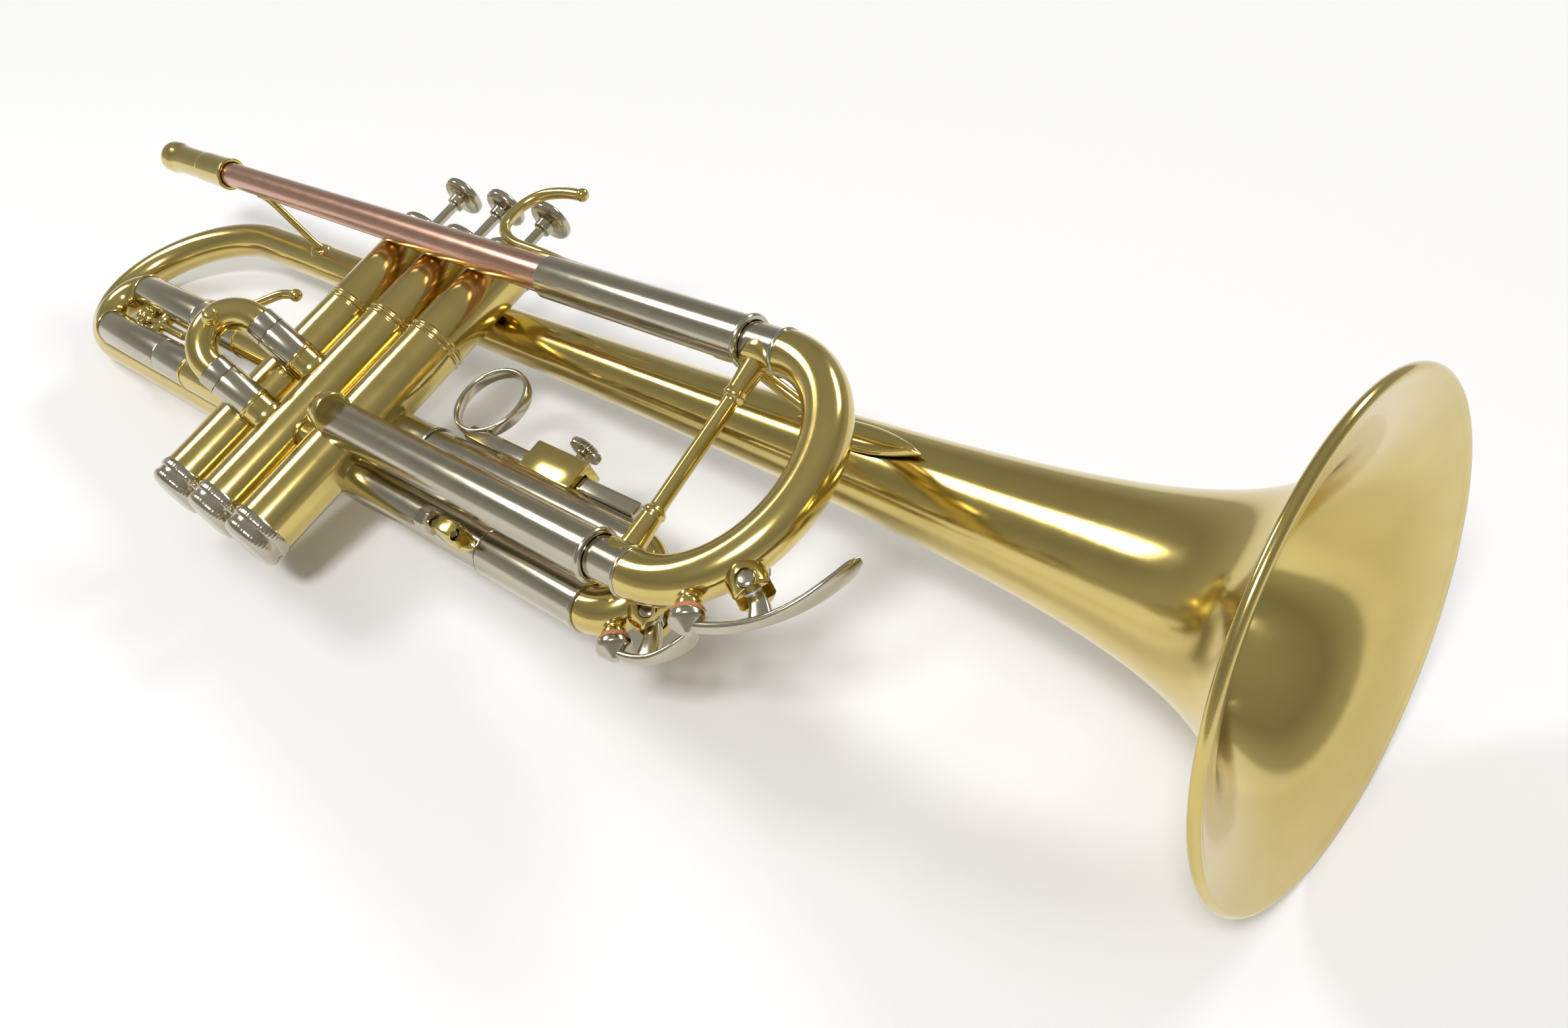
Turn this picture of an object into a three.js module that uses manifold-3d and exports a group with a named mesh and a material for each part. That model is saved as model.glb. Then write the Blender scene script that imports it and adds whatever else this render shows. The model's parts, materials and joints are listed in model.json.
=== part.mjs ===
// A B-flat piston trumpet, lying on its left side as it is put down on a table.
// Millimetres, +Z up. The horn is drawn in its playing frame (+X towards the bell, +Y to the player's
// left, +Z up along the valves, origin on the middle valve's axis) and one group turns it onto the table.
import * as THREE from "three";
import { mergeVertices } from "three/addons/utils/BufferGeometryUtils.js";
import loadManifold from "manifold-3d";

const wasm = await loadManifold();
wasm.setup();

// ---- driving dimensions ----
const SIDES = 16; // facets round a tube
const GAP = 0.3; // space left between pieces that are soldered or rest together
const degrees = THREE.MathUtils.degToRad;

const valve = { pitch: 25.6, radius: 10.5, bore: 8.8, bottom: -85, top: 33, seam: -3 };
const links = [-30, -52]; // heights of the short tubes between the valves
const cap = { radius: 11.1, floor: 7.6, depth: 9, height: 7, hole: 3.9 };
const piston = { radius: 8.4, bottom: -74, top: 8, cavityTop: -50, cavity: 7.4 };
const passage = { radius: 5.2, heights: [-30, -15] };
const spring = { radius: 6.2, wire: 0.7, turns: 6 };
const button = { radius: 8.2, z: 57, thickness: 3.3, stem: 1.9, hub: 3.4 };
const tube = { outer: 6.95, bore: 6.55, inner: 6.1, airway: 5.6, bead: 7.9, bow: 6.6, bowAirway: 5.9 };
const lead = { y: -17, z: 25.7, mouth: -192.5, copper: -138.5, nickel: 70 };
const back = { y: -10, z: -45.8, start: 30 }; // the leg that brings the air back to the third valve
const mainSlide = { tubeEnd: 155.5, legStart: 76, bowStart: 168, reach: 29.5 };
const bell = { y: 19.7, z: 21.8, tail: -80, rim: 308.3, scale: 149.8, offset: 6.1, power: 0.503, wall: 0.7 };
const bellBow = { start: -138, lowStart: -158, reach: 46.4, radius: 6.9, airway: 6.2 };
const bellReturn = { y: 13.4, z: -53.2, endY: 11.6 }; // the bell bow's lower leg, into the first valve
const first = { y: -3, upper: -32, lower: -52.5, seam: -92, legStart: -44, legEnd: -141 };
const stay = { x: -114, rod: 1.7, knob: 4.2, tip: -130 }; // between the first slide's legs
const second = { lean: degrees(42), upper: -32.8, lower: -55.1, seam: 29, legStart: 14, legEnd: 34.4 };
const third = { y: 8, upper: -33.5, lower: -53.9, legStart: 37, legEnd: 147.5 };
const thirdSeam = { upper: 55, lower: 105 };
const ring = { x: 59.5, z: -10.7, outer: 13.8, hole: 11.5, width: 3.6 };
const bar = { length: 77, bottom: -26.1, top: -20.6 }; // the finger ring's bar
const guide = { x: 104, z: -22, screwX: 107, length: 22, width: 8, height: 10 };
const lyre = { x: 95.5, y: -2.8, z: -57.6, hole: 1.9 };
// Water keys: angles of nipple and hinge below the bow's middle, and the lever's tip and curve.
const keyMain = { nipple: -57, length: 9.3, hinge: -35, hingeOut: 10.3, tip: [220.5, -17.5], bulge: 13 };
const keyThird = { nipple: -46, length: 9, hinge: -12, hingeOut: 10.3, tip: [181.5, -46], bulge: 9 };
const keyCap = { radius: 4.9, cork: 4.2, nipple: 3.2 };
// How the horn leans when it lies on the bell's rim and the rear bow.
const rest = { pitch: degrees(-4.988), roll: degrees(14.827) };

// ---- materials ----
function finish(color, roughness, metalness = 1) {
  return new THREE.MeshStandardMaterial({ color, roughness, metalness });
}
const brass = finish(0xc9a748, 0.16);
const nickel = finish(0xb8ad9a, 0.14);
const copper = finish(0xb98a72, 0.24);
const steel = finish(0x9a9a9a, 0.35);
const cork = finish(0x8a4e31, 0.85, 0);

// ---- shape helpers ----
const vec = (x, y, z) => new THREE.Vector3(x, y, z);

// A profile of [radius, distance along the axis] turned about X, Y or Z.
function turned(profile, axis, sides = SIDES) {
  const points = profile.map(([radius, along]) => new THREE.Vector2(radius, along));
  const geometry = new THREE.LatheGeometry(points, sides);
  if (axis === "x") geometry.rotateZ(-Math.PI / 2);
  if (axis === "z") geometry.rotateX(Math.PI / 2);
  return geometry;
}

// A straight tube along an axis, open at both ends; steps lists [outer radius, start, end].
function pipe(steps, bore, axis = "x") {
  const outside = steps.flatMap(([radius, start, end]) => [[radius, start], [radius, end]]);
  const start = steps[0][1];
  const end = steps[steps.length - 1][2];
  return turned([[bore, start], ...outside, [bore, end], [bore, start]], axis);
}

const rod = (radius, start, end, axis = "x", sides = SIDES) =>
  turned([[0, start], [radius, start], [radius, end], [0, end]], axis, sides);

// A round section swept along a curve, hollow if it has a bore.
function swept(curve, radius, bore, steps, sides = SIDES) {
  const section = new THREE.Shape().absarc(0, 0, radius, 0, 2 * Math.PI);
  if (bore) section.holes.push(new THREE.Path().absarc(0, 0, bore, 0, 2 * Math.PI, true));
  return new THREE.ExtrudeGeometry(section, { steps, curveSegments: sides / 2, extrudePath: curve });
}

// A half turn from one leg's end to the other's: an ellipse that reaches out along a direction.
class Bow extends THREE.Curve {
  constructor(from, to, reach) {
    super();
    this.centre = from.clone().add(to).multiplyScalar(0.5);
    this.half = from.clone().sub(to).multiplyScalar(0.5);
    this.reach = reach;
  }
  getPoint(t) {
    const turn = Math.PI * t;
    const place = this.centre.clone().addScaledVector(this.half, Math.cos(turn));
    return place.addScaledVector(this.reach, Math.sin(turn));
  }
}

class Helix extends THREE.Curve {
  constructor(radius, start, end, turns) {
    super();
    Object.assign(this, { radius, start, end, turns });
  }
  getPoint(t) {
    const angle = 2 * Math.PI * this.turns * t;
    const z = this.start + (this.end - this.start) * t;
    return vec(this.radius * Math.cos(angle), this.radius * Math.sin(angle), z);
  }
}

// A flat outline in the XZ plane, given width along Y about y.
function plate(shape, y, width, curveSegments = 6) {
  const geometry = new THREE.ExtrudeGeometry(shape, { depth: width, bevelEnabled: false, curveSegments });
  return geometry.rotateX(Math.PI / 2).translate(0, y + width / 2, 0);
}

const moved = (geometry, x, y, z) => geometry.translate(x, y, z);

// Points a geometry built along +Z from the origin at a place and a direction.
function aimed(geometry, place, direction) {
  const turn = new THREE.Quaternion().setFromUnitVectors(vec(0, 0, 1), direction.clone().normalize());
  return geometry.applyQuaternion(turn).translate(place.x, place.y, place.z);
}

// ---- booleans ----
function solid(geometry) {
  const flat = geometry.index ? geometry.toNonIndexed() : geometry;
  const bare = new THREE.BufferGeometry().setAttribute("position", flat.getAttribute("position"));
  const merged = mergeVertices(bare, 1e-3);
  const mesh = { numProp: 3, vertProperties: merged.attributes.position.array };
  return new wasm.Manifold(new wasm.Mesh({ ...mesh, triVerts: new Uint32Array(merged.index.array) }));
}

function geometryOf(made) {
  const mesh = made.getMesh();
  const geometry = new THREE.BufferGeometry();
  geometry.setAttribute("position", new THREE.BufferAttribute(mesh.vertProperties, 3));
  geometry.setIndex(new THREE.BufferAttribute(mesh.triVerts, 1));
  return geometry;
}

const joined = (...parts) => geometryOf(parts.map(solid).reduce((a, b) => a.add(b)));
const cut = (part, ...tools) => geometryOf(tools.map(solid).reduce((a, b) => a.subtract(b), solid(part)));

// ---- the tree ----
const horn = new THREE.Group();

function add(name, geometry, material) {
  geometry.deleteAttribute("uv");
  geometry.deleteAttribute("normal");
  geometry.computeVertexNormals();
  const mesh = new THREE.Mesh(geometry, material);
  mesh.name = name;
  horn.add(mesh);
}

const valveX = (n) => (n - 2) * valve.pitch;
// The space a casing takes, with the gap round it.
const casingSpace = (n) => moved(rod(valve.radius + GAP, valve.bottom, valve.top, "z"), valveX(n), 0, 0);
const pipeSpace = (radius, y, z, start, end) => moved(rod(radius, start, end), 0, y, z);
const bellRadius = (x) => bell.scale * (bell.rim + bell.offset - x) ** -bell.power;

// ---- valves ----
function addValve(n) {
  const x = valveX(n);
  const { radius, bore, bottom, top, seam } = valve;
  const bead = radius + 0.5;
  const casing = [
    [bore, bottom], [radius, bottom], [radius, seam - 1], [bead, seam - 0.4], [bead, seam + 0.4],
    [radius, seam + 1], [radius, top], [bore, top], [bore, bottom],
  ];
  add(`casing_${n}`, moved(turned(casing, "z"), x, 0, 0), brass);
  const floor = bottom - cap.floor;
  const bottomCap = [
    [0, bottom - cap.depth], [9.6, bottom - cap.depth], [cap.radius, bottom - 8], [cap.radius, bottom - 6.6],
    [10.5, bottom - 5.6], [10.5, bottom - 3.6], [cap.radius, bottom - 2.6], [cap.radius, bottom - GAP],
    [bore - 0.2, bottom - GAP], [bore - 0.2, floor], [0, floor],
  ];
  add(`bottom_cap_${n}`, moved(turned(bottomCap, "z"), x, 0, 0), nickel);
  const topCap = [
    [cap.hole, top + 3.5], [bore, top + 3.5], [bore, top + GAP], [cap.radius, top + GAP],
    [cap.radius, top + 5], [9.5, top + cap.height], [cap.hole, top + cap.height], [cap.hole, top + 3.5],
  ];
  add(`top_cap_${n}`, moved(turned(topCap, "z"), x, 0, 0), nickel);
  const body = [
    [0, piston.cavityTop], [piston.cavity, piston.cavityTop], [piston.cavity, piston.bottom],
    [piston.radius, piston.bottom], [piston.radius, piston.top], [0, piston.top],
  ];
  const ports = passage.heights.map((z) => moved(rod(passage.radius, -12, 12, "x", 10), 0, 0, z));
  add(`piston_${n}`, moved(cut(turned(body, "z"), ...ports), x, 0, 0), steel);
  const { z, thickness, stem, hub } = button;
  const finger = [
    [0, piston.top + GAP], [hub, piston.top + GAP], [hub, piston.top + 4], [stem, piston.top + 6],
    [stem, z - 5], [hub, z - 4.4], [hub, z - 0.4], [button.radius, z + 0.4],
    [button.radius, z + thickness - 0.5], [button.radius - 0.8, z + thickness], [0, z + thickness - 0.7],
  ];
  add(`finger_button_${n}`, moved(turned(finger, "z"), x, 0, 0), nickel);
  const helix = new Helix(spring.radius, floor + 1, piston.cavityTop - 1, spring.turns);
  add(`valve_spring_${n}`, moved(swept(helix, spring.wire, 0, 48, 4), x, 0, 0), steel);
}

for (const n of [1, 2, 3]) addValve(n);

// ---- leadpipe line ----
const receiver = [
  [5.3, lead.mouth], [6.3, lead.mouth], [6.75, lead.mouth + 1], [6.75, lead.mouth + 6.5],
  [5.95, lead.mouth + 11], [5.95, lead.copper - 22], [6.3, lead.copper - 21], [6.3, lead.copper],
  [5.35, lead.copper], [5.35, lead.copper - 10], [4.7, lead.copper - 13], [5.3, lead.mouth],
];
add("mouthpiece_receiver", moved(turned(receiver, "x"), 0, lead.y, lead.z), brass);
const leadpipe = [
  [4.3, lead.copper - 9], [4.95, lead.copper - 9], [5.9, lead.nickel - GAP], [5.2, lead.nickel - GAP],
  [4.3, lead.copper - 9],
];
add("leadpipe", moved(turned(leadpipe, "x"), 0, lead.y, lead.z), copper);

function beadedTube(start, end) {
  return pipe([[tube.outer, start, end - 2.4], [tube.bead, end - 2, end]], tube.bore);
}
const leadTube = beadedTube(lead.nickel, mainSlide.tubeEnd);
add("leadpipe_slide_tube", moved(leadTube, 0, lead.y, lead.z), nickel);
const backTube = moved(beadedTube(back.start, mainSlide.tubeEnd), 0, back.y, back.z);
add("return_slide_tube", cut(backTube, casingSpace(3)), nickel);
const backPort = [
  [0, back.start - 9], [4, back.start - 8.4], [6.6, back.start - 6], [7.6, back.start - 2.5],
  [7.6, back.start - GAP], [5.6, back.start - GAP], [5.6, back.start - 3], [0, back.start - 3],
];
add("return_port", cut(moved(turned(backPort, "x"), 0, back.y, back.z), casingSpace(3)), brass);

// ---- main tuning slide ----
const mainLeg = () => pipe([[tube.inner, mainSlide.legStart, mainSlide.bowStart - GAP]], tube.airway);
add("main_leg_upper", moved(mainLeg(), 0, lead.y, lead.z), nickel);
add("main_leg_lower", moved(mainLeg(), 0, back.y, back.z), nickel);
const mainTop = vec(mainSlide.bowStart, lead.y, lead.z);
const mainBottom = vec(mainSlide.bowStart, back.y, back.z);
const mainBow = new Bow(mainTop, mainBottom, vec(mainSlide.reach, 0, 0));

// The point on a bow, and the outward direction in the XZ plane, at an angle below the bow's middle.
function onBow(bow, below) {
  const angle = degrees(below);
  const height = bow.half.length();
  const reach = bow.reach.length();
  const place = bow.getPoint(0.5 - angle / Math.PI);
  return { place, out: vec(Math.cos(angle) / reach, 0, Math.sin(angle) / height).normalize() };
}

// A bow with the brass nipple that its water key closes.
function drainedBow(bow, key, steps) {
  const { place, out } = onBow(bow, key.nipple);
  const nipple = aimed(rod(keyCap.nipple, tube.bowAirway + 0.2, key.length, "z", 12), place, out);
  return joined(swept(bow, tube.bow, tube.bowAirway, steps), nipple);
}
add("main_bow", drainedBow(mainBow, keyMain, 12), brass);

// The pillar between the tuning slide's legs, with a tapered socket and foot at each end.
function pillar() {
  const top = vec(161, lead.y + 0.6, lead.z - tube.inner - GAP);
  const foot = vec(162.5, back.y - 0.6, back.z + tube.inner + GAP);
  const length = top.distanceTo(foot);
  const half = [[0, 0], [3.9, 0], [3.9, 1], [3.3, 2], [2.5, 10.5], [3, 11], [3, 12.2], [2, 12.6]];
  const other = half.map(([radius, along]) => [radius, length - along]).reverse();
  return aimed(turned([...half, ...other], "z"), foot, top.clone().sub(foot));
}
const legSpaces = [lead, back].map(({ y, z }) => pipeSpace(tube.inner + GAP, y, z, 140, mainSlide.bowStart));
add("main_slide_pillar", cut(pillar(), ...legSpaces), brass);

// ---- water keys ----
function addWaterKey(prefix, bow, key) {
  const nipple = onBow(bow, key.nipple);
  const hinge = onBow(bow, key.hinge);
  const y = nipple.place.y;
  const seat = nipple.place.clone().addScaledVector(nipple.out, key.length + GAP);
  const capBase = seat.clone().addScaledVector(nipple.out, 2 + GAP);
  const pivot = hinge.place.clone().addScaledVector(hinge.out, key.hingeOut);
  add(`${prefix}_key_cork`, aimed(rod(keyCap.cork, 0, 2, "z", 12), seat, nipple.out), cork);
  const cupProfile = [[0, 0], [keyCap.radius, 0], [keyCap.radius, 2], [1.4, 4.6], [0, 4.6]];
  const cup = aimed(turned(cupProfile, "z"), capBase, nipple.out);
  const start = capBase.clone().addScaledVector(nipple.out, 3);
  const tip = vec(key.tip[0], 0, key.tip[1]);
  const across = tip.clone().sub(start);
  const outward = vec(across.z, 0, -across.x).normalize();
  const crown = start.clone().addScaledVector(across, 0.45);
  const bend = (offset) => crown.clone().addScaledVector(outward, key.bulge + offset);
  const outerBend = bend(0.9);
  const innerBend = bend(-1.1);
  const strap = new THREE.Shape().moveTo(start.x - 1.5, start.z - 1);
  strap.quadraticCurveTo(outerBend.x, outerBend.z, tip.x + 0.8, tip.z);
  strap.lineTo(tip.x - 1, tip.z + 0.6);
  strap.quadraticCurveTo(innerBend.x, innerBend.z, start.x + 0.6, start.z + 1.6);
  const elbow = start.clone().addScaledVector(across, 0.42).addScaledVector(outward, key.bulge * 0.5 - 0.4);
  const arm = new THREE.Shape().moveTo(pivot.x - 1.7, pivot.z).lineTo(elbow.x - 3, elbow.z - 1.5);
  arm.lineTo(elbow.x + 3.4, elbow.z + 2.4).lineTo(pivot.x + 1.7, pivot.z + 0.6);
  const barrel = moved(rod(2.1, y - 2, y + 2, "y", 12), pivot.x, 0, pivot.z);
  const lever = joined(plate(strap, y, 5), plate(arm, y, 3.4), barrel, cup);
  add(`${prefix}_key_lever`, lever, nickel);
  // Two ears on a foot, with the slotted screw's head in one of them.
  const inner = tube.bow + GAP;
  const outer = key.hingeOut + 2.6;
  const block = hinge.place.clone().addScaledVector(hinge.out, (inner + outer) / 2);
  const ears = aimed(new THREE.BoxGeometry(6.2, 9.4, outer - inner), block.setY(y), hinge.out);
  const slot = moved(rod(2.45, y - 2.3, y + 2.3, "y", 12), pivot.x, 0, pivot.z);
  const mouthPlace = pivot.clone().addScaledVector(hinge.out, 5).setY(y);
  const mouth = aimed(new THREE.BoxGeometry(20, 4.6, 12), mouthPlace, hinge.out);
  const head = moved(rod(3, y - 5.6, y - 4, "y", 12), pivot.x, 0, pivot.z);
  const bowSpace = swept(bow, tube.bow + GAP, 0, 12);
  add(`${prefix}_key_saddle`, cut(joined(ears, head), slot, mouth, bowSpace), brass);
}
addWaterKey("main", mainBow, keyMain);

// ---- bell ----
const bellStations = [-80, 0, 75, 135, 180, 215, 242, 262, 277, 288, 296, 301, 305];
const bellOutside = bellStations.map((x) => [bellRadius(x), x]);
const bellInside = bellStations.map((x) => [bellRadius(x) - bell.wall, x + bell.wall * 0.5]).reverse();
bellInside[bellInside.length - 1][1] = bell.tail;
const rim = [[58.6, 307.2], [60.4, 306.3], [61.5, 307.4], [61.1, 309.4], [59.3, 309.4]];
const bellProfile = [...bellOutside, ...rim, ...bellInside, bellOutside[0]];
add("bell", moved(turned(bellProfile, "x", 28), 0, bell.y, bell.z), brass);

const bowTop = vec(bellBow.start, bell.y, bell.z);
const bowLow = vec(bellBow.lowStart, bellReturn.y, bellReturn.z);
const bellBowPath = new THREE.CurvePath();
bellBowPath.add(new THREE.LineCurve3(vec(bell.tail - GAP, bell.y, bell.z), bowTop));
bellBowPath.add(new Bow(bowTop, bowLow, vec(-bellBow.reach, 0, 0)));
bellBowPath.add(new THREE.LineCurve3(bowLow, vec(valveX(1), bellReturn.endY, bellReturn.z)));
add("bell_bow", cut(swept(bellBowPath, bellBow.radius, bellBow.airway, 20), casingSpace(1)), brass);

// ---- braces and hooks ----
function brace(from, to, radius) {
  const length = from.distanceTo(to);
  const profile = [
    [0, 0], [3.2, 0], [3.2, 0.8], [radius, 2.4],
    [radius, length - 2.4], [3.2, length - 0.8], [3.2, length], [0, length],
  ];
  return aimed(turned(profile, "z", 12), from, to.clone().sub(from));
}
const leadSpace = moved(rod(tube.outer + GAP, 70, 152), 0, lead.y, lead.z);
const copperProfile = [[0, -140], [4.95 + GAP, -140], [5.9 + GAP, lead.nickel], [0, lead.nickel]];
const copperSpace = moved(turned(copperProfile, "x"), 0, lead.y, lead.z);
const bellSpaceProfile = bellStations.map((x) => [bellRadius(x) + GAP, x]);
const bellSpace = moved(turned([[0, bell.tail], ...bellSpaceProfile, [0, 305]], "x", 28), 0, bell.y, bell.z);
const tailSpace = moved(rod(bellBow.radius + GAP, -158, -80), 0, bell.y, bell.z);
const rearBrace = brace(vec(-112, lead.y + 4.6, lead.z - 2.6), vec(-96, bell.y - 6.4, bell.z + 2), 1.5);
add("rear_brace", cut(rearBrace, copperSpace, tailSpace), brass);
const frontBrace = brace(vec(147, lead.y + 6.6, lead.z - 1.4), vec(176, bell.y - 12, bell.z + 0.8), 2.2);
const foot = new THREE.SphereGeometry(1, 16, 8).scale(16, 1.8, 4.2).translate(181, bell.y - 13, bell.z + 0.8);
add("front_brace", cut(joined(frontBrace, foot), leadSpace, bellSpace), brass);

const curve = (y, points) => new THREE.CatmullRomCurve3(points.map(([x, z]) => vec(x, y, z)));
const hookPath = curve(lead.y, [
  [67, 33.9], [53, 33.7], [40, 34.4], [33.3, 38.4], [31.2, 44.5],
  [32.6, 51], [37.6, 56.2], [45, 58.8], [52.6, 59.6],
]);
add("pinky_hook", swept(hookPath, 1.7, 0, 24, 8), brass);

// ---- first valve slide ----
for (const side of ["upper", "lower"]) {
  const z = first[side];
  const outer = moved(pipe([[tube.outer, first.seam, valveX(1)]], tube.bore), 0, first.y, z);
  add(`first_tube_${side}`, cut(outer, casingSpace(1)), nickel);
  const end = first.seam - GAP;
  const steps = [[tube.outer, first.legEnd, end], [tube.inner, end, first.legStart]];
  add(`first_leg_${side}`, moved(pipe(steps, tube.airway), 0, first.y, z), nickel);
}
const firstTop = vec(first.legEnd - GAP, first.y, first.upper);
const firstLow = vec(first.legEnd - GAP, first.y, first.lower);
const firstBow = new Bow(firstTop, firstLow, vec(-(first.upper - first.lower) / 2, 0, 0));
add("first_bow", swept(firstBow, tube.bow, tube.bowAirway, 8), brass);
const firstMiddle = (first.upper + first.lower) / 2;
const stayPost = rod(2.2, first.lower + tube.outer - 1, first.upper - tube.outer + 1, "z", 12);
const knobProfile = [
  [0, stay.tip], [stay.knob, stay.tip + 1], [stay.knob, stay.tip + 3], [2.8, stay.tip + 4],
  [stay.knob, stay.tip + 5], [stay.knob, stay.tip + 7], [stay.rod, stay.tip + 8], [stay.rod, -94], [0, -94],
];
const stayKnob = moved(turned(knobProfile, "x", 12), 0, first.y, firstMiddle);
const stayWhole = joined(moved(stayPost, stay.x, first.y, 0), stayKnob);
const legSpace = (z) => pipeSpace(tube.outer + GAP, first.y, z, first.legEnd, first.seam);
add("first_slide_stay", cut(stayWhole, legSpace(first.upper), legSpace(first.lower)), brass);
const thumbPath = curve(first.y, [
  [-96, -23.3], [-84, -23], [-76, -20.5], [-70, -14], [-64, -9], [-57, -7.5],
]);
const thumbSpace = pipeSpace(tube.outer + GAP, first.y, first.upper, -130, -40);
add("thumb_hook", cut(swept(thumbPath, 2, 0, 16, 8), thumbSpace), brass);

// ---- second valve slide: legs lean back from the valve, built along +X and turned ----
const leaned = (geometry) => geometry.rotateZ(1.5 * Math.PI - second.lean);
const secondSpace = (z) => leaned(pipeSpace(tube.outer + GAP, 0, z, 4, second.seam));
for (const side of ["upper", "lower"]) {
  const outer = moved(pipe([[tube.outer, 4, second.seam]], tube.bore), 0, 0, second[side]);
  add(`second_tube_${side}`, cut(leaned(outer), casingSpace(1), casingSpace(2)), nickel);
}
// The short tubes that carry the air from one valve to the next, clear of the second slide's tubes.
for (const n of [1, 2]) {
  const link = moved(pipe([[5.9, valveX(n), valveX(n + 1)]], 5.2), 0, 0, links[n - 1]);
  const spaces = [casingSpace(n), casingSpace(n + 1), secondSpace(second.upper), secondSpace(second.lower)];
  add(`valve_link_${n}`, cut(link, ...spaces), brass);
}
const secondTop = vec(second.legEnd, 0, second.upper);
const secondLow = vec(second.legEnd, 0, second.lower);
const secondPath = new THREE.CurvePath();
secondPath.add(new THREE.LineCurve3(vec(second.legStart, 0, second.upper), secondTop));
secondPath.add(new Bow(secondTop, secondLow, vec((second.upper - second.lower) / 2, 0, 0)));
secondPath.add(new THREE.LineCurve3(secondLow, vec(second.legStart, 0, second.lower)));
const pullEnd = second.legEnd + (second.upper - second.lower) / 2 + tube.inner - 1;
const pull = [
  [0, pullEnd], [2.4, pullEnd], [2.2, pullEnd + 3], [3.6, pullEnd + 4.4], [3.6, pullEnd + 6.2],
  [2.6, pullEnd + 7], [0, pullEnd + 7],
];
const pullKnob = moved(turned(pull, "x", 12), 0, 0, (second.upper + second.lower) / 2);
add("second_slide", leaned(joined(swept(secondPath, tube.inner, tube.airway, 16), pullKnob)), brass);

// ---- third valve slide ----
for (const side of ["upper", "lower"]) {
  const z = third[side];
  const seam = thirdSeam[side];
  const outer = pipe([[tube.outer, valveX(3), seam - 2.4], [tube.outer + 0.6, seam - 2, seam]], tube.bore);
  add(`third_tube_${side}`, cut(moved(outer, 0, third.y, z), casingSpace(3)), nickel);
  const steps = [[tube.inner, third.legStart, seam + GAP], [tube.outer, seam + GAP, third.legEnd]];
  add(`third_leg_${side}`, moved(pipe(steps, tube.airway), 0, third.y, z), nickel);
}
const thirdTop = vec(third.legEnd + GAP, third.y, third.upper);
const thirdLow = vec(third.legEnd + GAP, third.y, third.lower);
const thirdBow = new Bow(thirdTop, thirdLow, vec((third.upper - third.lower) / 2, 0, 0));
add("third_bow", drainedBow(thirdBow, keyThird, 8), brass);
addWaterKey("third", thirdBow, keyThird);

// The finger ring on its bar, and the box on the slide's upper leg that the bar runs through.
const ringBand = new THREE.Shape().absarc(ring.x, ring.z, ring.outer, 0, 2 * Math.PI);
ringBand.holes.push(new THREE.Path().absarc(ring.x, ring.z, ring.hole, 0, 2 * Math.PI, true));
const ringBody = plate(ringBand, third.y, ring.width, 12);
const ringHole = moved(rod(ring.hole, -4, 4, "y", 24), ring.x, third.y, ring.z);
const barHeight = bar.top - bar.bottom;
const barZ = (bar.top + bar.bottom) / 2;
const barBody = new THREE.BoxGeometry(bar.length, ring.width, barHeight);
const barPlaced = moved(barBody, ring.x + 3 + bar.length / 2, third.y, barZ);
add("finger_ring", joined(ringBody, cut(barPlaced, ringHole)), nickel);

const guideBlock = new THREE.BoxGeometry(guide.length, guide.width, guide.height);
const guideShell = moved(guideBlock, guide.x, third.y, guide.z);
const guideFoot = moved(new THREE.BoxGeometry(38, 7, 2.4), guide.x - 6, third.y, -26.6);
const channel = new THREE.BoxGeometry(60, ring.width + 2 * GAP, barHeight + 2 * GAP);
const screwHole = moved(rod(1.7, -22, -10, "z", 10), guide.screwX, third.y, 0);
const thirdLegSpace = pipeSpace(tube.outer + GAP, third.y, third.upper, 60, 145);
const guideSpaces = [moved(channel, guide.x, third.y, barZ), screwHole, thirdLegSpace];
add("ring_guide", cut(joined(guideShell, guideFoot), ...guideSpaces), brass);
const shank = bar.top + 0.5;
const screw = [[0, shank], [1.35, shank], [1.35, -13.8], [5.4, -13.8], [5.4, -11.4], [0, -11.4]];
add("ring_screw", moved(turned(screw, "z", 20), guide.screwX, third.y, 0), nickel);

// ---- lyre holder on the third slide's lower tube ----
const lyreBody = moved(new THREE.BoxGeometry(10, 9, 5.6), lyre.x, lyre.y + 2.4, lyre.z + 0.6);
const lyreHole = moved(rod(lyre.hole, -10, 10, "x", 10), lyre.x, lyre.y, lyre.z);
const lyreTubeSpace = pipeSpace(tube.outer + GAP, third.y, third.lower, 60, 120);
add("lyre_holder", cut(lyreBody, lyreHole, lyreTubeSpace), brass);
const lyreScrew = [[0, -11], [3.8, -11], [4.4, -10.2], [4.4, -6.2], [1.5, -5.6], [1.5, 3], [0, 3]];
add("lyre_screw", moved(turned(lyreScrew, "x", 8), lyre.x, lyre.y, lyre.z), nickel);

// ---- onto the table ----
horn.rotation.x = -Math.PI / 2;
const lying = new THREE.Group();
lying.add(horn);
lying.rotation.set(rest.roll, rest.pitch, 0, "YXZ");
const trumpet = new THREE.Group();
trumpet.add(lying);
trumpet.updateMatrixWorld(true);
const box = new THREE.Box3().setFromObject(trumpet, true);
const middle = box.getCenter(new THREE.Vector3());
lying.position.set(-middle.x, -middle.y, -box.min.z);

export default trumpet;
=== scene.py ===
"""A lacquered brass trumpet, lying on a pale floor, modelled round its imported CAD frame.

Shapes are drawn in millimetres in the horn's playing frame (+X bell, +Y player's left, +Z buttons),
which the frame's own joints give, and PLAY carries them to the row frame in metres.
"""
import json
import math
import bmesh
import bpy
import numpy as np
from mathutils import Matrix, Vector


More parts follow.
